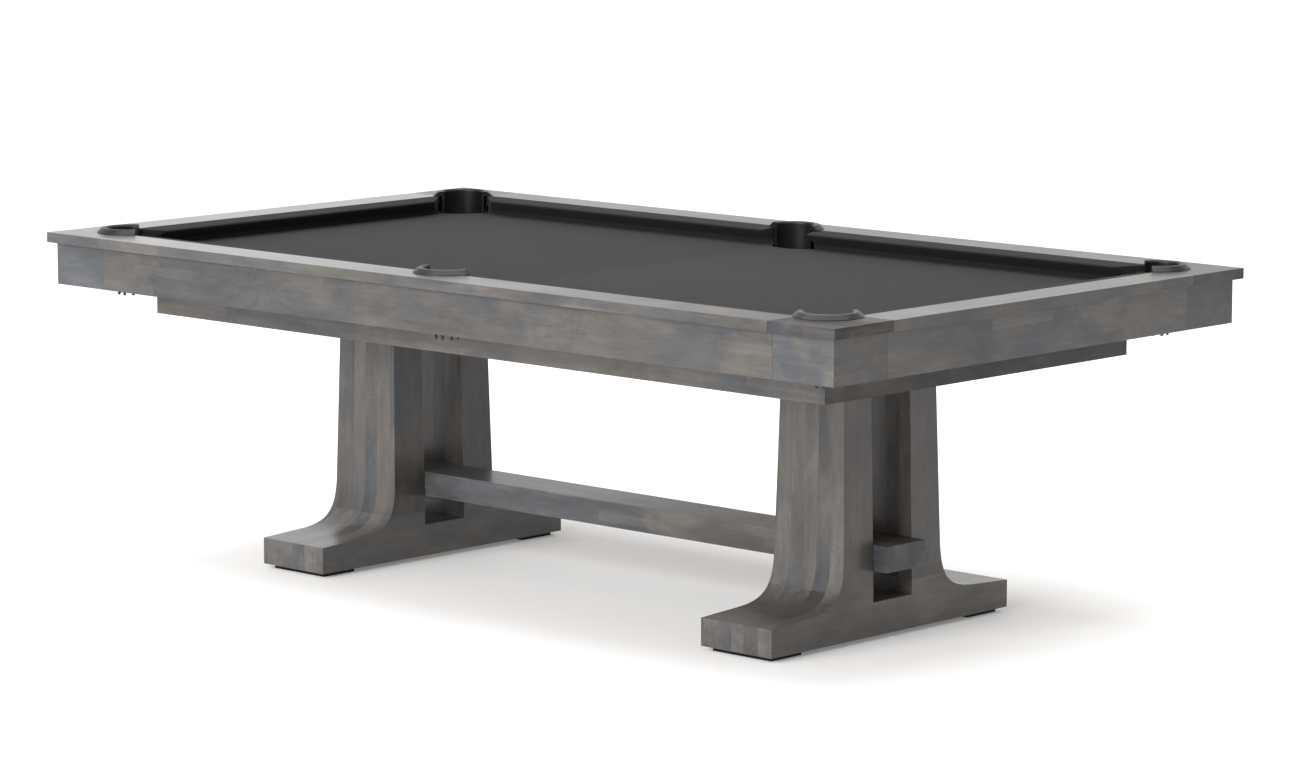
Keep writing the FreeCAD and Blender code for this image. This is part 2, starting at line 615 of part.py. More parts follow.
def build_frame():
    """Mitred frame boards, inner beams and the bolts that hold them."""
    screw_floor = SLATE_BOTTOM - SCREW_IN_WOOD - 1
    screw_holes = [upright(x, y, screw_floor, SLATE_BOTTOM + 1, SCREW + FIT)
                   for x, y in slate_screw_places()]
    beam_x = [side * x for x in (PEDESTAL_X, SLATE_JOINT) for side in (-1, 1)]
    sides = [(V(x, side * FRAME_Y, FRAME_BOLT_Z), V(0, -side, 0)) for x in beam_x for side in (-1, 1)]
    ends = [(V(side * FRAME_X, 0, FRAME_BOLT_Z), V(-side, 0, 0)) for side in (-1, 1)]
    sink_depth, sink_radius = LAG_SINK
    lags = [(V(side * PEDESTAL_X, y, FRAME_BOTTOM + sink_depth), Z_AXIS)
            for side in (-1, 1) for y in PLATE_LAG_Y]
    bolts = []
    holes = []
    for seats, reach in ((sides + ends, FRAME_BOLT_REACH), (lags, LAG_REACH)):
        for seat, direction in seats:
            bolts.append(bolt(seat, direction, reach, FRAME_BOLT, 16, 6))
            holes.append(rod(seat - direction, seat + direction * (reach + 1), FRAME_BOLT + FIT))
    for seat, direction in lags:
        holes.append(upright(seat.x, seat.y, FRAME_BOTTOM - 1, seat.z, sink_radius))
    write("frame_bolts", bolts)

    z0, z1 = FRAME_BOTTOM, SLATE_BOTTOM
    long_board = prism([(-FRAME_X, FRAME_Y), (FRAME_X, FRAME_Y), (FRAME_IN_X, FRAME_IN_Y),
                        (-FRAME_IN_X, FRAME_IN_Y)], "XY", z0, z1).cut(holes + screw_holes)
    end_board = prism([(FRAME_X, -FRAME_Y), (FRAME_X, FRAME_Y), (FRAME_IN_X, FRAME_IN_Y),
                       (FRAME_IN_X, -FRAME_IN_Y)], "XY", z0, z1).cut(holes + screw_holes)
    write("frame_board_rear", [long_board])
    write("frame_board_front", [turned(long_board)])
    write("frame_board_right", [end_board])
    write("frame_board_left", [turned(end_board)])

    beams = [box(x - BEAM_HALF, x + BEAM_HALF, -FRAME_IN_Y, FRAME_IN_Y, PLATE_TOP, z1) for x in beam_x]
    stops = [-FRAME_IN_X - BEAM_HALF] + sorted(beam_x) + [FRAME_IN_X + BEAM_HALF]
    for start, end in zip(stops, stops[1:]):
        beams.append(box(start + BEAM_HALF, end - BEAM_HALF, -CENTRE_HALF, CENTRE_HALF, PLATE_TOP, z1))
    write("frame_beams", [beam.cut(holes + screw_holes) for beam in beams])
    return holes


# ---------------------------------------------------------------- pedestals

def pedestal_half():
    """The rear half of a pedestal's end view: foot, cove and post."""
    cove_top_y = POST_TOP_Y + (FRAME_BOTTOM - COVE_TOP) * POST_TAPER
    cove_end_z = FOOT_END_TOP + (FOOT_HALF_Y - COVE_END) * FOOT_SLOPE
    down = V(0, POST_TAPER, -1).normalize() * COVE_PULL[0]
    out = V(0, -1, FOOT_SLOPE).normalize() * COVE_PULL[1]
    start, end = V(0, cove_top_y, COVE_TOP), V(0, COVE_END, cove_end_z)
    curve = Part.BezierCurve()
    curve.setPoles([start, start + down, end + out, end])
    corners = [end, V(0, FOOT_HALF_Y, FOOT_END_TOP), V(0, FOOT_HALF_Y, PAD_THICK), V(0, 0, PAD_THICK),
               V(0, 0, FRAME_BOTTOM), V(0, POST_TOP_Y, FRAME_BOTTOM), start]
    edges = [curve.toShape()]
    edges += [Part.LineSegment(a, b).toShape() for a, b in zip(corners, corners[1:])]
    solid = Part.Face(Part.Wire(edges)).extrude(X_AXIS * 2 * FOOT_HALF_X)
    solid.translate(V(-FOOT_HALF_X, 0, 0))
    return solid


def build_pedestals(frame_holes):
    """Feet, tapered posts, top plates, the stretcher through both slots, and what joins them."""
    slot = box(-200, 200, -SLOT_HALF, SLOT_HALF, NOTCH_FLOOR, FRAME_BOTTOM + 1)
    rise = FRAME_BOTTOM - POST_JOINT
    top_half = FOOT_HALF_X - rise * POST_TAPER
    taper = prism([(-FOOT_HALF_X, POST_JOINT), (FOOT_HALF_X, POST_JOINT), (top_half, FRAME_BOTTOM),
                   (-top_half, FRAME_BOTTOM)], "XZ", -FOOT_HALF_Y, FOOT_HALF_Y)
    rear = pedestal_half()
    halves = {"front": mirrored(rear, Y_AXIS), "rear": rear}
    below = box(-200, 200, -500, 500, 0, POST_JOINT)

    bolts, bolt_holes = [], []
    for x in (-POST_BOLT_X, POST_BOLT_X):
        for y in (-POST_BOLT_Y, POST_BOLT_Y):
            upper, lower = V(x, y, PLATE_TOP), V(x, y, POST_BOLT_SEAT)
            for seat, direction, reach in ((upper, Z_AXIS * -1, PLATE_THICK + POST_BOLT_REACH[0]),
                                           (lower, Z_AXIS, POST_BOLT_REACH[1])):
                bolts.append(bolt(seat, direction, reach, BOLT_RADIUS, 19, 8))
                bolt_holes.append(rod(seat, seat + direction * (reach + 1), BOLT_RADIUS + FIT))
            bolt_holes.append(upright(x, y, 0, POST_BOLT_SEAT, POST_BOLT_SINK))
    dowel_z = sum(STRETCHER_Z) / 2
    dowels = [rod(V(x, -DOWEL_REACH, dowel_z), V(x, DOWEL_REACH, dowel_z), DOWEL_RADIUS)
              for x in (-DOWEL_X, DOWEL_X)]
    dowel_holes = [rod(V(x, -DOWEL_REACH - 1, dowel_z), V(x, DOWEL_REACH + 1, dowel_z), DOWEL_RADIUS + FIT)
                   for x in (-DOWEL_X, DOWEL_X)]

    pad_y = sum(PAD_Y) / 2
    flange_top, barrel_top = PAD_THICK + SOCKET[0], PAD_THICK + SOCKET[1]
    sockets, socket_holes = [], []
    for y in (-pad_y, pad_y):
        socket = upright(0, y, PAD_THICK, flange_top, SOCKET_RADIUS[0])
        socket = socket.fuse(upright(0, y, flange_top, barrel_top, SOCKET_RADIUS[1]))
        sockets.append(socket.cut(upright(0, y, 0, barrel_top + 1, STUD_RADIUS + STUD_CLEARANCE)))
        socket_holes += [upright(0, y, 0, flange_top, SOCKET_RADIUS[0] + FIT),
                         upright(0, y, 0, barrel_top, SOCKET_RADIUS[1] + FIT),
                         upright(0, y, 0, STUD[1] + 4, STUD_RADIUS + 0.5)]

    foot = halves["front"].common(below).fuse(halves["rear"].common(below)).removeSplitter()
    foot = foot.cut([slot] + bolt_holes + socket_holes)
    plate = box(-PLATE_HALF, PLATE_HALF, -FRAME_IN_Y, FRAME_IN_Y, FRAME_BOTTOM, PLATE_TOP).cut(bolt_holes)
    pad = prism([(-PAD_HALF_X, PAD_Y[0], 3), (PAD_HALF_X, PAD_Y[0], 3), (PAD_HALF_X, PAD_Y[1], 3),
                 (-PAD_HALF_X, PAD_Y[1], 3)], "XY", 0, PAD_THICK)
    pad = pad.cut(upright(0, pad_y, STUD[0], 20, STUD_RADIUS + 0.1))
    stud = upright(0, pad_y, STUD[0], STUD[1], STUD_RADIUS)

    for side, x in (("left", -PEDESTAL_X), ("right", PEDESTAL_X)):
        write("foot_" + side, [shifted(foot, x)])
        for end, half in halves.items():
            column = half.common(taper).cut([slot] + bolt_holes + dowel_holes)
            write("post_%s_%s" % (end, side), [shifted(column, x)])
            leveler = [pad, stud] if end == "rear" else [mirrored(pad, Y_AXIS), mirrored(stud, Y_AXIS)]
            write("leveler_%s_%s" % (end, side), [shifted(piece, x) for piece in leveler])
    write("pedestal_plates", [plate.cut(frame_holes) for plate in both_pedestals([plate])])
    write("pedestal_bolts", both_pedestals(bolts))
    write("stretcher_dowels", both_pedestals(dowels))
    write("leveler_sockets", both_pedestals(sockets))

    stretcher = box(-STRETCHER_X, STRETCHER_X, -STRETCHER_HALF, STRETCHER_HALF, *STRETCHER_Z)
    write("stretcher", [stretcher.cut(both_pedestals(dowel_holes))])


def main():
    os.makedirs("parts", exist_ok=True)
    apron_holes = build_rails()
    build_rail_fasteners()
    build_caps_and_aprons(apron_holes)
    build_pockets()
    build_slate()
    build_pedestals(build_frame())


main()
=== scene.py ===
"""Pool table: wood, cloth, pockets, floor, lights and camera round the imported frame. Metres."""
import math

import bmesh
import bpy
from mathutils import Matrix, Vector


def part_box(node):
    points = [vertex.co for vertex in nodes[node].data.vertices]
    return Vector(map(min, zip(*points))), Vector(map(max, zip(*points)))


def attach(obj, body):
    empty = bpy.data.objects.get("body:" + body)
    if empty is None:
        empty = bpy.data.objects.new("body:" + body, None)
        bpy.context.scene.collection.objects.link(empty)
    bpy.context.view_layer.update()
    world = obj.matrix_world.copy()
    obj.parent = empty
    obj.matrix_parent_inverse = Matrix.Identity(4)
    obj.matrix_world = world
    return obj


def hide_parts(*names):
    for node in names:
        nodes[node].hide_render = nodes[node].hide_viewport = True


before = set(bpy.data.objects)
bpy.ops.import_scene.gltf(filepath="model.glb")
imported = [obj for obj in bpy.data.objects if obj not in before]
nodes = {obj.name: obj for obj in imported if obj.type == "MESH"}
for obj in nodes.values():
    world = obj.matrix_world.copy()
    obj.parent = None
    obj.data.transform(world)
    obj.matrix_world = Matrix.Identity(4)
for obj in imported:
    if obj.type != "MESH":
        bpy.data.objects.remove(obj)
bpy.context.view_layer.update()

# ---- places read from the frame
BED_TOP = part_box("bed_cloth")[1].z
SLATE_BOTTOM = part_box("slate_middle")[0].z
CLOTH_X, CLOTH_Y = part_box("bed_cloth")[1].x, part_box("bed_cloth")[1].y
PLAY_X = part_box("rail_cloth_right")[0].x
PLAY_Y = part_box("rail_cloth_rear_right")[0].y
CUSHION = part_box("rail_cap_right")[0].x - PLAY_X      # nose line to the wooden cap
COLLAR_OUTER = 0.077                                  # radius of a pocket rim's collar
CORNER_POCKET = Vector([c - COLLAR_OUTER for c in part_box("pocket_rim_rear_right")[1].xy])
SIDE_POCKET_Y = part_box("pocket_rim_rear_side")[1].y - COLLAR_OUTER
BASKET_BOTTOM, BASKET_TOP = (corner.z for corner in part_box("pocket_baskets"))

# ---- rounding of the edges
EDGE_ROUND = 0.0007               # rails, aprons and frame boards
PEDESTAL_ROUND = 0.0012           # posts and feet
SLATE_ROUND = 0.0004

# ---- cushions: u outward from the nose line, h up from the bed, s along the rail
NOSE = (-0.0049, 0.0386)          # where the top and the undercut would meet
NOSE_RADIUS = 0.0032
CUSHION_BACK_H = 0.0443
UNDERCUT = (0.0332, 0.0110)
CUSHION_FOOT = 0.0350
CLOTH = 0.0010                    # thickness of the cloth
CORE_FRONT = 0.0315               # front of the hidden rail core
CLOTH_TAIL = 0.0600               # the rail cloth runs back under the rail to here
TOP_CROWN = 0.0005                # the cushion's top swells this much between the nose and the wood
CORNER_TIP = 0.100                # a cushion's nose ends this far short of the corner of the nose lines
SIDE_MOUTH = 0.141                # width of a side pocket's mouth between the two noses
CORNER_FACING = math.radians(38)  # off the rail's own direction
SIDE_FACING = math.radians(76)
RAIL_HOLE = 0.060                 # radius of the rails' cut-out round a pocket
FACING_DEPTH = 0.0052             # facing and its cloth, measured along the rail
FOLD = 0.0022                     # radius of the cloth's fold round a cushion's end
BACK_DRAFT = math.radians(12)     # the facings' tops overhang their feet by this angle, towards the pocket
FOLD_STEPS = 6
MIDDLE_STEPS = 24
SMOOTH_ANGLE = 40                 # cushions and cloth are shaded smooth below this many degrees

# ---- bed cloth and baskets
CUTOUT_HALF = 0.0675              # half width of the cut-out in the slate at each pocket
CORNER_SHELF = (0.028, 0.008)     # pocket centre to the bed's curved edge, at its middle and at its ends
SIDE_SHELF = (0.035, 0.0)
CORNER_STEPS, SIDE_STEPS = 28, 32
SLATE_NOTCH = 0.020               # pocket centre out to where the slate's corner is cut off
BED_FLAP = SLATE_BOTTOM - 0.006   # the cloth is wrapped down over the slate's edge to here
ROUND_OVER = 0.0016               # radius of the cloth's turn over the slate's edge
BASKET_TOP_R = 0.063
BASKET_BASE_R = 0.048
RIBS = 8
RIB_WIDTH = 0.0070
RIB_THICK = 0.0050
NUB_RADIUS = 0.0265               # the ribs end in short straight nubs this far from the basket's middle
HOOP_STEPS = 48
HOOPS = (                         # middle radius, height, width and thickness of each ring of a basket
    (BASKET_TOP_R - 0.0030, BASKET_TOP - 0.0055, 0.0110, 0.0058),
    (BASKET_BASE_R + 0.0020, BASKET_BOTTOM + 0.0440, 0.0060, 0.0040),
    (NUB_RADIUS + 0.0020, BASKET_BOTTOM + 0.0150, 0.0050, 0.0050))


# ---------------------------------------------------------------- small helpers

def new_object(name, bm, smooth_angle=None):
    """A mesh object from bmesh data, shaded smooth below the given angle in degrees."""
    bmesh.ops.recalc_face_normals(bm, faces=bm.faces)
    mesh = bpy.data.meshes.new(name)
    bm.to_mesh(mesh)
    bm.free()
    made = bpy.data.objects.new(name, mesh)
    bpy.context.scene.collection.objects.link(made)
    if smooth_angle is not None:
        mesh.shade_smooth()
        mesh.set_sharp_from_angle(angle=math.radians(smooth_angle))
    return made


def bevel(made, width, segments=2, angle=35):
    """Weld the faces of a part together and round its edges by modifiers alone."""
    weld = made.modifiers.new("weld", "WELD")
    weld.merge_threshold = 1e-5
    rounding = made.modifiers.new("bevel", "BEVEL")
    rounding.width = width
    rounding.segments = segments
    rounding.limit_method = "ANGLE"
    rounding.angle_limit = math.radians(angle)
    rounding.use_clamp_overlap = True
    shading = made.modifiers.new("flat_faces", "WEIGHTED_NORMAL")
    shading.weight = 100


def dress(made, material):
    """Give a piece one material."""
    made.data.materials.clear()
    made.data.materials.append(material)


def loft(bm, rings, close_ring=True, close_path=False, caps=True):
    """Join rings of equally many points into a skin of quads."""
    rows = [[bm.verts.new(point) for point in ring] for ring in rings]
    count = len(rows[0])
    steps = len(rows) if close_path else len(rows) - 1
    for i in range(steps):
        a, b = rows[i], rows[(i + 1) % len(rows)]
        for j in range(count if close_ring else count - 1):
            k = (j + 1) % count
            bm.faces.new((a[j], a[k], b[k], b[j]))
    if caps and close_ring and not close_path:
        bm.faces.new(rows[0])
        bm.faces.new(list(reversed(rows[-1])))
    return rows


# ---------------------------------------------------------------- node helpers

def add(tree, kind, inputs=None, **properties):
    """A shader node with its properties set and its inputs linked or set."""
    made = tree.nodes.new("ShaderNode" + kind)
    for key, value in properties.items():
        setattr(made, key, value)
    for key, value in (inputs or {}).items():
        if isinstance(value, bpy.types.NodeSocket):
            tree.links.new(value, made.inputs[key])
        else:
            made.inputs[key].default_value = value
    return made


def mix(tree, factor, a, b, blend="MIX"):
    """Mixes two colours and returns the result's socket."""
    made = tree.nodes.new("ShaderNodeMix")
    made.data_type = "RGBA"
    made.blend_type = blend
    for index, value in ((0, factor), (6, a), (7, b)):
        if isinstance(value, bpy.types.NodeSocket):
            tree.links.new(value, made.inputs[index])
        else:
            made.inputs[index].default_value = value
    return made.outputs[2]


def calc(tree, operation, a, b=0.0, c=0.0):
    """A Math node's result."""
    return add(tree, "Math", {0: a, 1: b, 2: c}, operation=operation).outputs[0]


def spread(tree, value, low, high, to_low=0.0, to_high=1.0):
    """Maps a value's useful range to another range, clamped."""
    return add(tree, "MapRange", {"Value": value, "From Min": low, "From Max": high,
                                  "To Min": to_low, "To Max": to_high}).outputs[0]


def noise(tree, vector, scale, detail=3.0, roughness=0.5, distortion=0.0):
    return add(tree, "TexNoise", {"Vector": vector, "Scale": scale, "Detail": detail,
                                  "Roughness": roughness, "Distortion": distortion}).outputs["Fac"]


def object_point(tree):
    return add(tree, "TexCoord").outputs["Object"]


def grey(level):
    return (level, level, level, 1.0)


def finished(name, roughness=0.5, **sockets):
    """A new material with its Principled shader; constants go straight on the shader's sockets."""
    material = bpy.data.materials.new(name)
    material.use_nodes = True
    tree = material.node_tree
    shader = tree.nodes["Principled BSDF"]
    shader.inputs["Roughness"].default_value = roughness
    for key, value in sockets.items():
        shader.inputs[key.replace("_", " ")].default_value = value
    return material, tree, shader


def bump(tree, shader, height, strength, distance):
    made = add(tree, "Bump", {"Height": height, "Strength": strength, "Distance": distance})
    tree.links.new(made.outputs["Normal"], shader.inputs["Normal"])


# ---------------------------------------------------------------- materials

WARM = (0.0790, 0.0690, 0.0600, 1.0)      # taupe patches of the stain
MIDDLE = (0.0560, 0.0540, 0.0525, 1.0)
BLUISH = (0.0420, 0.0455, 0.0515, 1.0)
STRIP = (0.0236, 0.21)            # width and length of the strips that a plain board is glued from
STAVE = 0.042                     # width of the staves that the posts and feet are glued from
LACQUER = 0.55                    # coat weight at a gloss of 1

# Painted reflection and shade: the lacquer goes from glossy to dull along a board, so that the caps reflect
# less towards +X and the stretcher's top darkens by the post at +X as if shaded; two places along X, and the
# gloss at each.
GLOSS_RAMPS_PAINTING_REFLECTION = {"rail_cap_front": (-0.6, 1.0, 1.95, 0.10), "rail_cap_rear": (-0.8, 0.3, 1.05, 0.75),
          "stretcher": (-0.2, 0.45, 0.90, 0.0)}


def along(tree, vector, grain, stretch):
    """Squeeze the pattern across the grain, which runs along one axis."""
    scale = {"X": (1, stretch, stretch), "Y": (stretch, 1, stretch), "Z": (stretch, stretch, 1)}[grain]
    return add(tree, "Mapping", {"Vector": vector, "Scale": scale}).outputs[0]


def random_of(tree, row, column):
    """A steady random number from 0 to 1 for each whole-numbered row and column."""
    cell = add(tree, "CombineXYZ", {0: row, 1: column}).outputs[0]
    return add(tree, "TexWhiteNoise", {"Vector": cell}, noise_dimensions="2D").outputs[0]


def strips(tree, point, grain, wide, long, seed):
    """Random tone of each strip in a glued-up board; the strips lie along the grain, with staggered ends."""
    axes = add(tree, "SeparateXYZ", {0: point}).outputs
    run, rise = {"X": (0, 2), "Y": (1, 2), "Z": (2, 0)}[grain]
    row = calc(tree, "FLOOR", calc(tree, "MULTIPLY_ADD", axes[rise], 1 / wide, seed * 0.37))
    stagger = calc(tree, "MULTIPLY_ADD", random_of(tree, row, float(seed)), 9.0, seed * 0.61)
    column = calc(tree, "FLOOR", calc(tree, "MULTIPLY_ADD", axes[run], 1 / long, stagger))
    return random_of(tree, row, column)


def grey_maple(name, grain, seed, staves=0.0, corner=False, level=(1.0, 1.0), gloss=1.0):
    """Grey-stained maple: cloudy blue-grey and taupe stain over fine grain, under satin lacquer.

    staves is the width of the staves glued side by side along X, each with its own tone; without it the
    board is glued from strips. A corner block's grain turns with its side faces. level scales the stain's
    lightness, first on the top and the long sides, then on the faces turned to the table's ends; the two
    differ as painted light and shade: the faces turned to the ends are darkened because less light falls on
    them. gloss scales what the lacquer reflects.
    """
    material, tree, shader = finished(name, 0.50, Specular_IOR_Level=0.22 * gloss, Coat_Roughness=0.22,
                                      Coat_Weight=LACQUER * gloss, Coat_IOR=1.36)
    point = object_point(tree)
    place = add(tree, "VectorMath", {0: point, 1: (seed * 1.37, seed * 0.73, seed * 2.11)}, operation="ADD")
    base = place.outputs[0]
    if staves:
        across = add(tree, "SeparateXYZ", {0: point}).outputs[0]
        cells = add(tree, "TexVoronoi", {"W": across, "Scale": 1 / staves, "Randomness": 0.6},
                    voronoi_dimensions="1D")
        shift = add(tree, "VectorMath", {0: cells.outputs["Color"], 1: (7.0, 5.0, 9.0)},
                    operation="MULTIPLY")
        base = add(tree, "VectorMath", {0: base, 1: shift.outputs[0]}, operation="ADD").outputs[0]
        tone = add(tree, "SeparateColor", {0: cells.outputs["Color"]}).outputs[0]
    else:
        tone = strips(tree, point, grain, *STRIP, seed)

    normal = add(tree, "NewGeometry").outputs["Normal"]
    sideways = calc(tree, "ABSOLUTE", add(tree, "SeparateXYZ", {0: normal}).outputs[0])
    on_end = calc(tree, "GREATER_THAN", sideways, 0.6)

    def stretched(amount):
        if not corner:
            return along(tree, base, grain, amount)
        blend = tree.nodes.new("ShaderNodeMix")
        blend.data_type = "VECTOR"
        tree.links.new(on_end, blend.inputs[0])
        tree.links.new(along(tree, base, "X", amount), blend.inputs[4])
        tree.links.new(along(tree, base, "Y", amount), blend.inputs[5])
        return blend.outputs[1]

    cloud = noise(tree, stretched(2.0), 4.2, 3.0, 0.55, 0.9)
    hue = noise(tree, stretched(1.7), 3.1, 3.0, 0.6, 1.4)
    streak = noise(tree, stretched(9.0), 5.5, 4.0, 0.62, 0.5)
    fibre = noise(tree, stretched(26.0), 26.0, 3.0, 0.6)
    pore = noise(tree, stretched(14.0), 160.0, 2.0, 0.5)
    curl_area = spread(tree, noise(tree, stretched(1.3), 4.5, 2.0, 0.5), 0.56, 0.66)
    curl = noise(tree, stretched(0.45), 95.0, 1.0, 0.4, 1.8)

    stain = mix(tree, spread(tree, hue, 0.40, 0.60), BLUISH, WARM)
    stain = mix(tree, 0.30, stain, MIDDLE)
    shade = calc(tree, "MULTIPLY_ADD", spread(tree, cloud, 0.32, 0.68), 0.44, 0.76)
    shade = calc(tree, "MULTIPLY", shade, spread(tree, streak, 0.30, 0.70, 0.80, 1.18))
    shade = calc(tree, "MULTIPLY", shade, spread(tree, fibre, 0.30, 0.70, 0.86, 1.13))
    shade = calc(tree, "MULTIPLY", shade, spread(tree, pore, 0.24, 0.40, 0.86, 1.0))
    figure = calc(tree, "MULTIPLY", curl_area, spread(tree, curl, 0.35, 0.65, -0.10, 0.12))
    shade = calc(tree, "MULTIPLY", shade, calc(tree, "ADD", figure, 1.0))
    if staves:
        shade = calc(tree, "MULTIPLY", shade, spread(tree, tone, 0.0, 1.0, 0.87, 1.10))
        stain = mix(tree, spread(tree, tone, 0.60, 0.85, 0.0, 0.55), stain, WARM)
    else:
        picked = spread(tree, tone, 0.90, 0.96)
        stain = mix(tree, calc(tree, "MULTIPLY", picked, 0.45), stain, WARM)
        shade = calc(tree, "MULTIPLY", shade, spread(tree, picked, 0.0, 1.0, 1.0, 1.10))
    # painted shade: faces turned to the table's ends take the second, darker lightness, and tops and long
    # sides the first, lighter one, as the light falls
    shade = calc(tree, "MULTIPLY", shade, spread(tree, on_end, 0.0, 1.0, *level))
    colour = mix(tree, 1.0, stain, shade, "MULTIPLY")
    tree.links.new(colour, shader.inputs["Base Color"])
    tree.links.new(spread(tree, streak, 0.3, 0.7, 0.38, 0.48), shader.inputs["Roughness"])
    bump(tree, shader, fibre, 0.10, 0.0006)
    # painted reflection and shade: the coat's weight ramps along X
    if name in GLOSS_RAMPS_PAINTING_REFLECTION:
        start, end, glossy, dull = GLOSS_RAMPS_PAINTING_REFLECTION[name]
        run = add(tree, "SeparateXYZ", {0: point}).outputs[0]
        weight = spread(tree, run, start, end, LACQUER * glossy, LACQUER * dull)
        tree.links.new(weight, shader.inputs["Coat Weight"])
    return material


THREAD = 0.0009                   # pitch of the weave


def cloth_material(name, colour, nap):
    """Worsted billiard cloth: a fine even weave with a short nap and faint mottling."""
    material, tree, shader = finished(name, 0.95, Sheen_Weight=nap, Sheen_Roughness=0.5,
                                      Specular_IOR_Level=0.12)
    shader.inputs["Sheen Tint"].default_value = grey(0.7)
    point = object_point(tree)

    def threads(direction):
        return add(tree, "TexWave", {"Vector": point, "Scale": 0.314 / THREAD, "Distortion": 0.6,
                                     "Detail": 1.0}, bands_direction=direction).outputs["Fac"]

    weave = calc(tree, "MULTIPLY", threads("X"), threads("Y"))
    nap_spots = noise(tree, point, 900.0, 2.0, 0.6)
    mottle = noise(tree, point, 7.0, 4.0, 0.6)
    shade = calc(tree, "MULTIPLY", spread(tree, mottle, 0.3, 0.7, 0.95, 1.05),
                 spread(tree, nap_spots, 0.3, 0.7, 0.86, 1.12))
    shade = calc(tree, "MULTIPLY", shade, spread(tree, weave, 0.0, 1.0, 0.93, 1.07))
    tree.links.new(mix(tree, 1.0, colour, shade, "MULTIPLY"), shader.inputs["Base Color"])
    bump(tree, shader, calc(tree, "ADD", weave, nap_spots), 0.35, 0.0003)
    return material


def moulded(name, colour, roughness, grain=0.00004, specular=0.5):
    """Moulded plastic or rubber: near-black, with a faint orange peel and handling marks."""
    material, tree, shader = finished(name, roughness, Specular_IOR_Level=specular)
    point = object_point(tree)
    peel = noise(tree, point, 420.0, 2.0, 0.5)
    marks = noise(tree, point, 38.0, 4.0, 0.65, 0.4)
    tree.links.new(mix(tree, spread(tree, marks, 0.35, 0.7), grey(colour), grey(colour * 1.35)),
                   shader.inputs["Base Color"])
    worn = spread(tree, marks, 0.3, 0.75, roughness * 0.9, roughness * 1.25)
    tree.links.new(worn, shader.inputs["Roughness"])
    bump(tree, shader, peel, 0.25, grain)
    return material


def bare_wood(name, light, dark, grain):
    """Unfinished hardwood of the hidden pieces."""
    material, tree, shader = finished(name, 0.7)
    point = object_point(tree)
    rings = noise(tree, along(tree, point, grain, 9.0), 9.0, 4.0, 0.55, 0.8)
    fibre = noise(tree, along(tree, point, grain, 24.0), 40.0, 3.0, 0.6)
    colour = mix(tree, spread(tree, rings, 0.35, 0.65), light, dark)
    colour = mix(tree, 1.0, colour, spread(tree, fibre, 0.3, 0.7, 0.85, 1.05), "MULTIPLY")
    tree.links.new(colour, shader.inputs["Base Color"])
    bump(tree, shader, fibre, 0.2, 0.0005)
    return material


def metal(name, colour, roughness):
    """Plated fasteners: fine tumbled scratches and slightly uneven brightness."""
    material, tree, shader = finished(name, roughness, Metallic=1.0)
    point = object_point(tree)
    cloudy = noise(tree, point, 60.0, 3.0, 0.6)
    scratch = noise(tree, along(tree, point, "Z", 8.0), 300.0, 2.0, 0.6)
    darker = tuple(c * 0.75 for c in colour[:3]) + (1.0,)
    tree.links.new(mix(tree, spread(tree, cloudy, 0.3, 0.7), darker, colour), shader.inputs["Base Color"])
    scratched = spread(tree, scratch, 0.3, 0.7, roughness * 0.8, roughness * 1.3)
    tree.links.new(scratched, shader.inputs["Roughness"])
    bump(tree, shader, scratch, 0.15, 0.00008)
    return material


def stone(name):
    """Honed slate: blue-grey with soft veining and a sawn surface."""
    material, tree, shader = finished(name, 0.62)
    point = object_point(tree)
    veins = noise(tree, point, 5.0, 6.0, 0.62, 1.4)
    speck = noise(tree, point, 420.0, 2.0, 0.6)
    dark, light = (0.040, 0.046, 0.052, 1), (0.085, 0.093, 0.100, 1)
    colour = mix(tree, spread(tree, veins, 0.35, 0.68), dark, light)
    colour = mix(tree, 1.0, colour, spread(tree, speck, 0.3, 0.7, 0.9, 1.1), "MULTIPLY")
    tree.links.new(colour, shader.inputs["Base Color"])
    bump(tree, shader, speck, 0.3, 0.0002)
    return material


# ---------------------------------------------------------------- wood and the other parts as they are

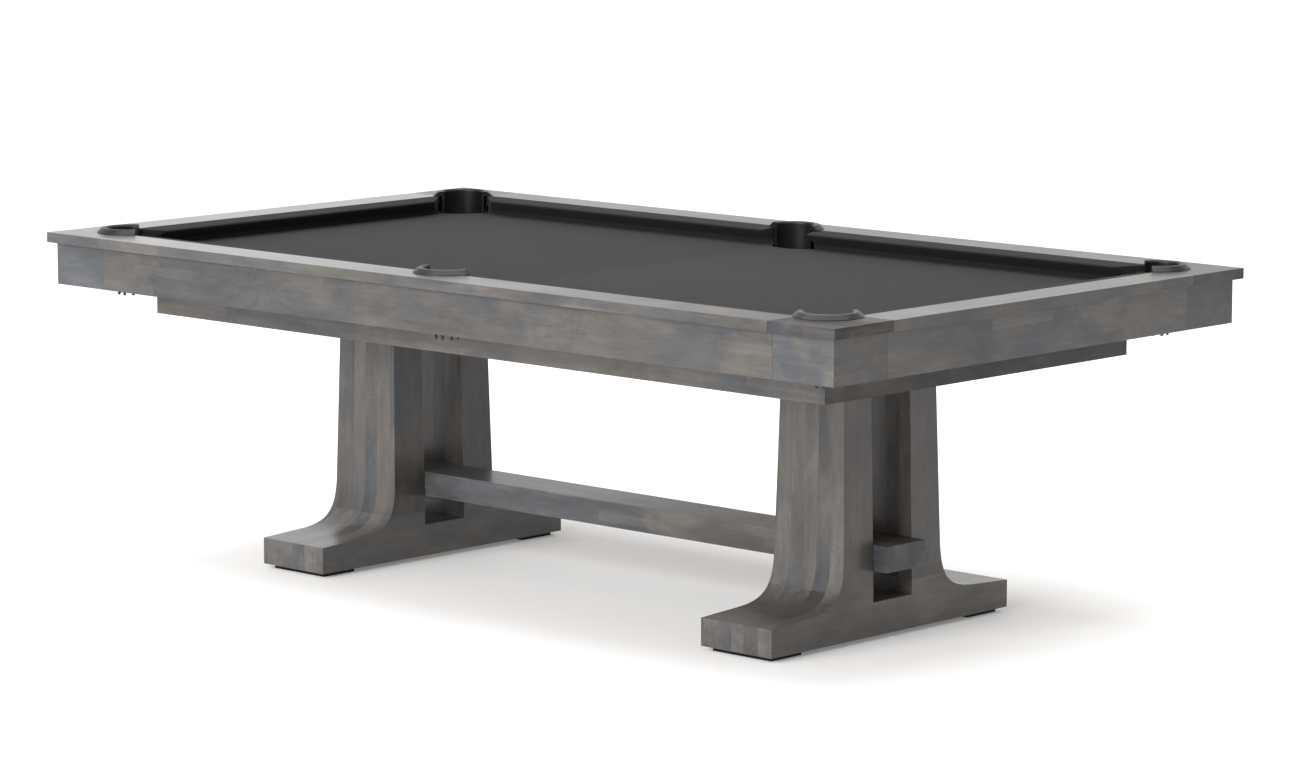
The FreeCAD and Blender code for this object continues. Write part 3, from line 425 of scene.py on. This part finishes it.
def dress_frame():
    """Materials and rounded edges for the parts that keep their own shape."""
    # for each board: the way its grain runs, the record's slot, the stain's lightness and the gloss
    boards = {
        "rail_cap_front": ("X", "cap_wood", 1.20, 1.0), "rail_cap_rear": ("X", "cap_wood", 1.05, 1.0),
        "rail_cap_left": ("Y", "cap_wood", 1.0, 1.8), "rail_cap_right": ("Y", "cap_wood", 0.97, 1.0),
        "apron_front": ("X", "apron_wood", 1.0, 1.0), "apron_rear": ("X", "apron_wood", 1.0, 1.0),
        "apron_left": ("Y", "apron_wood", 1.08, 1.0), "apron_right": ("Y", "apron_wood", 1.08, 1.0),
        "frame_board_front": ("X", "frame_wood", 1.12, 1.0),
        "frame_board_rear": ("X", "frame_wood", 1.12, 1.0),
        # painted shade: the end frame boards are made darker, as their faces turned to the table's ends take
        # less light
        "frame_board_left": ("Y", "frame_wood", 0.64, 0.5),
        "frame_board_right": ("Y", "frame_wood", 0.64, 0.5),
        "stretcher": ("X", "pedestal_wood", 1.42, 1.0),
    }
    # painted reflection: the left cap's high gloss and the end frame boards' low gloss make their
    # reflections brighter and darker
    for seed, (name, (grain, slot, level, gloss)) in enumerate(boards.items(), 1):
        dress(nodes[name], grey_maple(name, grain, seed, level=(level, level), gloss=gloss))
        if name != "stretcher":     # the dowel holes in its long sides leave no room for a rounded edge
            bevel(nodes[name], EDGE_ROUND)

    # painted reflection: the corner blocks' glosses differ so that some reflect brighter and some darker
    block_gloss = {"front_left": 1.5, "front_right": 0.1, "rear_left": 0.8, "rear_right": 0.5}
    for seed, (place, gloss) in enumerate(block_gloss.items(), 20):
        name = "corner_cap_" + place
        # painted shade: the blocks' faces turned to the table's ends are darker than their fronts and tops
        block_wood = grey_maple(name, "X", seed, corner=True, level=(1.1, 0.95), gloss=gloss)
        dress(nodes[name], block_wood)
        bevel(nodes[name], EDGE_ROUND)
    # painted shade: the apron's corner blocks are darker on their faces turned to the table's ends
    blocks_wood = grey_maple("apron_corners", "X", 25, corner=True, level=(1.3, 0.95))
    dress(nodes["apron_corners"], blocks_wood)
    bevel(nodes["apron_corners"], EDGE_ROUND)

    for side, seed, foot_gloss in (("left", 30, 1.5), ("right", 31, 1.1)):
        # painted shade: the posts' faces turned to the table's ends are darker than their fronts
        post_wood = grey_maple("posts_" + side, "Z", seed, staves=STAVE, level=(1.22, 0.82))
        for end in ("front", "rear"):
            name = "post_%s_%s" % (end, side)
            dress(nodes[name], post_wood)
            bevel(nodes[name], PEDESTAL_ROUND)
        name = "foot_" + side
        # painted shade: the feet's faces turned to the table's ends are darker than their fronts and tops
        foot_wood = grey_maple(name, "Y", seed, staves=STAVE, level=(1.28, 1.05), gloss=foot_gloss)
        dress(nodes[name], foot_wood)
        bevel(nodes[name], PEDESTAL_ROUND)

    maple_light, maple_dark = (0.52, 0.38, 0.24, 1), (0.40, 0.27, 0.16, 1)
    hidden = {"feather_strips": "X", "slate_backers": "X", "frame_beams": "Y",
              "pedestal_plates": "Y", "stretcher_dowels": "Y"}
    for name, grain in hidden.items():
        dress(nodes[name], bare_wood(name, maple_light, maple_dark, grain))
    stained = bare_wood("rail_cores", (0.012, 0.0115, 0.011, 1), (0.007, 0.0068, 0.0065, 1), "X")
    dress(nodes["rail_cores"], stained)
    zinc = metal("zinc_plate", (0.60, 0.61, 0.62, 1), 0.32)
    for name in ("apron_brackets", "rail_fasteners", "frame_bolts", "pedestal_bolts", "leveler_sockets",
                 "slate_screws"):
        dress(nodes[name], zinc)
    dress(nodes["slate_pins"], metal("pin_brass", (0.72, 0.52, 0.24, 1), 0.28))
    slate = stone("slate")
    for name in ("slate_left", "slate_middle", "slate_right"):
        dress(nodes[name], slate)
        bevel(nodes[name], SLATE_ROUND, 1)
    rim = moulded("pocket_rim", 0.004, 0.34, specular=0.3)
    pad = moulded("leveler_pad", 0.004, 0.6, 0.0001, specular=0.2)
    for name in nodes:
        if name.startswith("pocket_rim"):
            dress(nodes[name], rim)
        elif name.startswith("leveler_") and name != "leveler_sockets":
            dress(nodes[name], pad)


# ---------------------------------------------------------------- cushions

def crossing(skin):
    """The nose corner of the cushion's section, moved inward by skin, and the two faces' slopes."""
    slope = math.atan2(CUSHION_BACK_H - NOSE[1], CUSHION - NOSE[0])
    under = math.atan2(NOSE[1] - UNDERCUT[1], UNDERCUT[0] - NOSE[0])
    slide = skin / math.sin((slope + under) / 2)
    turn = (slope - under) / 2
    return NOSE[0] + slide * math.cos(turn), NOSE[1] + slide * math.sin(turn), slope, under


def section_outer(skin=0.0):
    """Points of the cloth's outside from the feather strip, round the nose and down to the bed.

    The whole outline is drawn in by skin, for the fold round a cushion's end.
    """
    nose_u, nose_h, slope, under = crossing(skin)
    radius = max(NOSE_RADIUS - skin, 0.0003)
    half = (slope + under) / 2
    trim = radius / math.tan(half)
    middle_u = nose_u + radius / math.sin(half) * math.cos((slope - under) / 2)
    middle_h = nose_h + radius / math.sin(half) * math.sin((slope - under) / 2)
    back_h = CUSHION_BACK_H - skin / math.cos(slope)
    points = [(CUSHION - 0.0003, back_h - 0.0026), (CUSHION - 0.0006, back_h - 0.0006)]
    start = (nose_u + trim * math.cos(slope), nose_h + trim * math.sin(slope))
    steps = 9
    for i in range(1, steps):
        t = i / steps
        rise = TOP_CROWN * math.sin(math.pi * t)
        points.append((CUSHION - 0.0006 + (start[0] - CUSHION) * t,
                       back_h - 0.0002 + (start[1] - back_h) * t + rise))
    first, last = math.pi / 2 + slope, 1.5 * math.pi - under
    for i in range(9):
        angle = first + (last - first) * i / 8
        points.append((middle_u + radius * math.cos(angle), middle_h + radius * math.sin(angle)))
    low = points[-1]
    foot = (UNDERCUT[0] + skin * math.sin(under), UNDERCUT[1] + skin * math.cos(under))
    for i in range(1, 7):
        t = i / 6
        points.append((low[0] + (foot[0] - low[0]) * t, low[1] + (foot[1] - low[1]) * t))
    points += [(foot[0] + 0.0011, 0.0055), (CUSHION_FOOT + skin * math.sin(under), 0.0)]
    return points


def section_inner(solid, skin=0.0):
    """Points of the inside, back from the bed to the feather strip; solid near the cushion's ends."""
    if solid:
        heights = (0.0, 0.004, 0.008, 0.014, 0.022, 0.032, CUSHION_BACK_H - skin - 0.0040)
        return [(CUSHION - 0.0004, height) for height in heights]
    back_h = CUSHION_BACK_H - CLOTH
    drop = (CUSHION_BACK_H - NOSE[1]) / (CUSHION - NOSE[0])
    return [(CLOTH_TAIL, 0.0), (CLOTH_TAIL, CLOTH), (CUSHION_FOOT + CLOTH, CLOTH),
            (UNDERCUT[0] + CLOTH + 0.0002, UNDERCUT[1] + 0.0006),
            (CORE_FRONT - 0.0002, UNDERCUT[1] + 0.0028),
            (CORE_FRONT - 0.0002, back_h - (CUSHION - CORE_FRONT) * drop),
            (CUSHION - 0.0066, back_h - 0.0066 * drop)]


def rail_end(tip, facing, pocket_s, pocket_u, outward):
    """A function giving s at a rail's end for any u and h: the facing, or the pocket's round where nearer.

    facing is the facing's angle off the rail, and its foot stands further from the pocket than its top.
    """
    lean = math.tan(BACK_DRAFT) / math.sin(abs(facing))

    def at(u, h):
        back = (CUSHION_BACK_H - h) * lean
        line = tip + u / math.tan(facing) + (-back if outward else back)
        gap = RAIL_HOLE ** 2 - (u - pocket_u) ** 2
        if gap <= 0:
            return line
        reach = math.sqrt(gap)
        return min(line, pocket_s - reach) if outward else max(line, pocket_s + reach)
    return at


def cushion(name, start, end, to_world):
    """One covered cushion from start(u) to end(u) along the rail, its cloth folded round both ends."""
    stations = []
    for i in range(FOLD_STEPS + 1):
        angle = math.pi / 2 * i / FOLD_STEPS
        stations.append((FOLD * (1 - math.cos(angle)), FOLD * (1 - math.sin(angle)), True))
    stations.append((FACING_DEPTH, 0.0, True))
    stations.append((FACING_DEPTH + 0.0004, 0.0, False))
    bm = bmesh.new()

    def ring(edge, sign, depth, inset, solid):
        points = section_outer(inset) + section_inner(solid, inset)
        return [to_world(edge(u, h) + sign * depth, u, h) for u, h in points]

    rings = [ring(start, 1, *station) for station in stations]
    points = section_outer() + section_inner(False)
    for i in range(1, MIDDLE_STEPS):
        t = i / MIDDLE_STEPS
        rings.append([to_world(start(u, h) + (end(u, h) - start(u, h)) * t, u, h) for u, h in points])
    rings += [ring(end, -1, *station) for station in reversed(stations)]
    loft(bm, rings)
    return new_object(name, bm, SMOOTH_ANGLE)


def build_cushions():
    """The six covered cushions, each standing for its rail's cloth, rubber and facings."""
    corner_u = CORNER_POCKET.x - PLAY_X
    side_u = SIDE_POCKET_Y - PLAY_Y
    cloth = cloth_material("rail_cloth", (0.019, 0.019, 0.0194, 1), 0.03)

    corner_v = CORNER_POCKET.y - PLAY_Y
    side_edge = rail_end(SIDE_MOUTH / 2, -SIDE_FACING, 0.0, side_u, False)
    corner_edge = rail_end(PLAY_X - CORNER_TIP, CORNER_FACING, CORNER_POCKET.x, corner_v, True)
    end_edge = rail_end(PLAY_Y - CORNER_TIP, CORNER_FACING, CORNER_POCKET.y, corner_u, True)

    def long_rail(x_sign, y_sign):
        return lambda s, u, h: Vector((x_sign * s, y_sign * (PLAY_Y + u), BED_TOP + h))

    def end_rail(x_sign):
        return lambda s, u, h: Vector((x_sign * (PLAY_X + u), s, BED_TOP + h))

    rails = [("rear_right", side_edge, corner_edge, long_rail(1, 1)),
             ("rear_left", side_edge, corner_edge, long_rail(-1, 1)),
             ("front_right", side_edge, corner_edge, long_rail(1, -1)),
             ("front_left", side_edge, corner_edge, long_rail(-1, -1)),
             ("right", lambda u, h: -end_edge(u, h), end_edge, end_rail(1)),
             ("left", lambda u, h: -end_edge(u, h), end_edge, end_rail(-1))]
    for side, start, end, to_world in rails:
        made = cushion("cushion_" + side, start, end, to_world)
        dress(made, cloth)
        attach(made, "table")
        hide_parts("rail_cloth_" + side, "cushion_rubbers", "cushion_facings")


# ---------------------------------------------------------------- bed cloth

def shelf(middle, end, steps):
    """The bed's curved edge at a pocket as (out, side) from the pocket's centre, one end to the other."""
    deep = middle - end
    radius = (deep ** 2 + CUTOUT_HALF ** 2) / (2 * deep)
    half = math.asin(CUTOUT_HALF / radius)
    angles = [half - 2 * half * i / steps for i in range(steps + 1)]
    return [(radius - middle - radius * math.cos(angle), radius * math.sin(angle)) for angle in angles]


def bed_outline():
    """The cloth's outline: the slate's rectangle with its corner and side pockets cut out."""
    side = shelf(*SIDE_SHELF, SIDE_STEPS)[SIDE_STEPS // 2::-1]
    quarter = [(across, SIDE_POCKET_Y + out) for out, across in side]   # from the middle to the cloth's edge
    quarter.append((CUTOUT_HALF, CLOTH_Y))
    x, y = CORNER_POCKET
    turn = math.sqrt(0.5)
    blunt = x + y + SLATE_NOTCH / turn                  # x + y along the cut across the fingers' tips
    quarter.append((blunt - CLOTH_Y, CLOTH_Y))
    slot = [(SLATE_NOTCH, CUTOUT_HALF)] + shelf(*CORNER_SHELF, CORNER_STEPS) + [(SLATE_NOTCH, -CUTOUT_HALF)]
    quarter += [(x + (out - across) * turn, y + (out + across) * turn) for out, across in slot]
    quarter.append((CLOTH_X, blunt - CLOTH_X))
    outline = list(quarter)
    outline += [(px, -py) for px, py in reversed(quarter)]
    outline += [(-px, -py) for px, py in quarter[1:]]
    outline += [(-px, py) for px, py in reversed(quarter[1:])]
    return outline


def offset(outline, amount):
    """The closed outline moved inward by amount at each point."""
    moved = []
    count = len(outline)
    for i in range(count):
        before = Vector(outline[i]) - Vector(outline[i - 1])
        after = Vector(outline[(i + 1) % count]) - Vector(outline[i])
        before.normalize()
        after.normalize()
        normal = Vector((before.y + after.y, -before.x - after.x))
        size = normal.length
        if size < 1e-6:
            moved.append(outline[i])
            continue
        normal.normalize()
        stretch = min(1 / max(normal.dot(Vector((before.y, -before.x))), 0.4), 2.0)
        moved.append(tuple(Vector(outline[i]) + normal * amount * stretch))
    return moved


def build_bed_cloth():
    """The cloth stretched over the slates, rounded over their edges and wrapped down into the pockets."""
    outline = bed_outline()
    bm = bmesh.new()
    loops = []
    for i in range(5):
        angle = math.pi / 2 * i / 4
        inset = ROUND_OVER * (1 - math.sin(angle))
        drop = ROUND_OVER * (1 - math.cos(angle))
        loops.append([bm.verts.new((x, y, BED_TOP - drop)) for x, y in offset(outline, inset)])
    loops.append([bm.verts.new((x, y, BED_FLAP)) for x, y in outline])
    bm.faces.new(loops[0])
    count = len(outline)
    for upper, lower in zip(loops, loops[1:]):
        for j in range(count):
            k = (j + 1) % count
            bm.faces.new((upper[j], upper[k], lower[k], lower[j]))
    bmesh.ops.triangulate(bm, faces=[face for face in bm.faces if len(face.verts) > 4])
    area = sum(face.calc_area() for face in bm.faces)
    made = new_object("bed_cloth_sheet", bm, SMOOTH_ANGLE)
    thickness = made.modifiers.new("thickness", "SOLIDIFY")
    thickness.thickness = CLOTH * 0.95
    thickness.offset = -1.0
    dress(made, cloth_material("bed_cloth", (0.021, 0.021, 0.0213, 1), 0.04))
    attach(made, "table")
    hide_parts("bed_cloth")


# ---------------------------------------------------------------- pocket baskets

def strip_ring(centre, outward, up, width, thick):
    """A rounded rectangle of eight points, for a moulded strip."""
    side = outward.cross(up).normalized()
    half_w, half_t = width / 2, thick / 2
    cut = min(half_w, half_t) * 0.45
    corners = [(half_w - cut, half_t), (half_w, half_t - cut), (half_w, cut - half_t),
               (half_w - cut, -half_t), (cut - half_w, -half_t), (-half_w, cut - half_t),
               (-half_w, half_t - cut), (cut - half_w, half_t)]
    return [centre + side * a + outward * b for a, b in corners]


def basket_profile():
    """Middle line of a rib as (radius, height), from the top ring down and under."""
    half = RIB_THICK / 2
    corners = [(BASKET_TOP_R - half, BASKET_TOP - 0.004), (BASKET_TOP_R - half, BASKET_TOP - 0.010),
               (BASKET_BASE_R - half, BASKET_BOTTOM + 0.0340), (NUB_RADIUS + 0.0030, BASKET_BOTTOM + 0.0125),
               (NUB_RADIUS, BASKET_BOTTOM + 0.0006)]
    points = [Vector(corner) for corner in corners]
    path = [points[0]]
    for a, b, c in zip(points, points[1:], points[2:]):
        reach = min((b - a).length, (c - b).length) * 0.45
        start, stop = b + (a - b).normalized() * reach, b + (c - b).normalized() * reach
        for i in range(6):
            t = i / 5
            path.append(start * (1 - t) ** 2 + b * 2 * t * (1 - t) + stop * t ** 2)
    return path + [points[-1]]


def hoop(bm, x, y, radius, height, width, thick):
    """A closed ring of strip, width tall and thick across."""
    rings = []
    for i in range(HOOP_STEPS):
        angle = 2 * math.pi * i / HOOP_STEPS
        outward = Vector((math.cos(angle), math.sin(angle), 0))
        around = Vector((-math.sin(angle), math.cos(angle), 0))
        rings.append(strip_ring(Vector((x, y, height)) + outward * radius, outward, around, width, thick))
    loft(bm, rings, close_path=True)


def build_baskets():
    """Six moulded baskets: a top ring, ribs curving in below it and two hoops."""
    rubber = moulded("pocket_basket", 0.010, 0.42, 0.0001)
    path = basket_profile()
    places = {"rear_right": (1, 1), "rear_left": (-1, 1), "front_right": (1, -1), "front_left": (-1, -1),
              "rear_side": (0, 1), "front_side": (0, -1)}
    for place, (sx, sy) in places.items():
        x = sx * CORNER_POCKET.x
        y = sy * (CORNER_POCKET.y if sx else SIDE_POCKET_Y)
        bm = bmesh.new()
        for ring in HOOPS:
            hoop(bm, x, y, *ring)
        for k in range(RIBS):
            angle = math.pi / RIBS + 2 * math.pi * k / RIBS
            radial = Vector((math.cos(angle), math.sin(angle), 0))
            rings = []
            for i, point in enumerate(path):
                before, after = path[max(i - 1, 0)], path[min(i + 1, len(path) - 1)]
                run = after - before
                tangent = (radial * run.x + Vector((0, 0, run.y))).normalized()
                outward = Vector((radial.y, -radial.x, 0)).cross(tangent).normalized()
                centre = Vector((x, y, point.y)) + radial * point.x
                rings.append(strip_ring(centre, outward, tangent, RIB_WIDTH, RIB_THICK))
            loft(bm, rings)
        made = new_object("pocket_basket_" + place, bm, 50)
        dress(made, rubber)
        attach(made, "table")
        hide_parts("pocket_baskets")


# ---------------------------------------------------------------- floor, lights and camera

CAMERA_PLACE = (7.557, -7.940, 2.120)
CAMERA_TURN = (43.354, 8.383)     # degrees round from the table's front, and down
CAMERA_LENS = 130.9               # millimetres
FLOOR_HALF = 60


def build_stage():
    """A pale seamless floor that glows a little more away from the table, to stay white there."""
    bm = bmesh.new()
    bmesh.ops.create_grid(bm, x_segments=1, y_segments=1, size=FLOOR_HALF)
    floor = new_object("floor", bm)
    material, tree, shader = finished("floor", 0.9, Specular_IOR_Level=0.1)
    shader.inputs["Emission Color"].default_value = grey(1.0)
    away = add(tree, "VectorMath", {0: object_point(tree)}, operation="LENGTH").outputs["Value"]
    tree.links.new(spread(tree, away, 1.5, 5.0, 0.15, 0.34), shader.inputs["Emission Strength"])
    spots = noise(tree, object_point(tree), 2.0, 3.0)
    tree.links.new(spread(tree, spots, 0.2, 0.8, 0.88, 0.90), shader.inputs["Base Color"])
    floor.data.materials.append(material)


def area_light(name, place, target, size, energy):
    light = bpy.data.lights.new(name, "AREA")
    light.shape = "RECTANGLE"
    light.size, light.size_y = size
    light.energy = energy
    made = bpy.data.objects.new(name, light)
    made.location = place
    made.rotation_euler = (Vector(target) - Vector(place)).to_track_quat("-Z", "Y").to_euler()
    bpy.context.scene.collection.objects.link(made)


def build_lights():
    """White surroundings, darker high on the right, with a broad light overhead and a key from the front."""
    world = bpy.data.worlds.new("surroundings")
    world.use_nodes = True
    tree = world.node_tree
    background = tree.nodes["Background"]
    background.inputs["Color"].default_value = grey(1.0)
    x, _, z = add(tree, "SeparateXYZ", {0: add(tree, "TexCoord").outputs["Generated"]}).outputs
    shaded = calc(tree, "MULTIPLY", spread(tree, x, 0.0, 0.8), spread(tree, z, 0.02, 0.35))
    tree.links.new(calc(tree, "MULTIPLY_ADD", shaded, -0.55, 1.0), background.inputs["Strength"])
    bpy.context.scene.world = world
    area_light("overhead", (0, 0, 4.5), (0, 0, 0), (5.0, 4.0), 190)
    area_light("key", (0.2, -7.0, 3.0), (0, 0, 0.5), (5.5, 3.0), 470)


def build_camera():
    """A long lens low over the near corner, looking across the table."""
    azimuth, elevation = map(math.radians, CAMERA_TURN)
    data = bpy.data.cameras.new("camera")
    data.lens = CAMERA_LENS
    data.sensor_width = 36.0
    data.clip_end = 200
    made = bpy.data.objects.new("camera", data)
    made.location = CAMERA_PLACE
    back = Vector((math.sin(azimuth) * math.cos(elevation), -math.cos(azimuth) * math.cos(elevation),
                   math.sin(elevation)))
    made.rotation_euler = (-back).to_track_quat("-Z", "Y").to_euler()
    bpy.context.scene.collection.objects.link(made)
    bpy.context.scene.camera = made


build_camera()
build_lights()
build_stage()
dress_frame()
build_cushions()
build_bed_cloth()
build_baskets()
bpy.context.scene.view_settings.view_transform = "Standard"
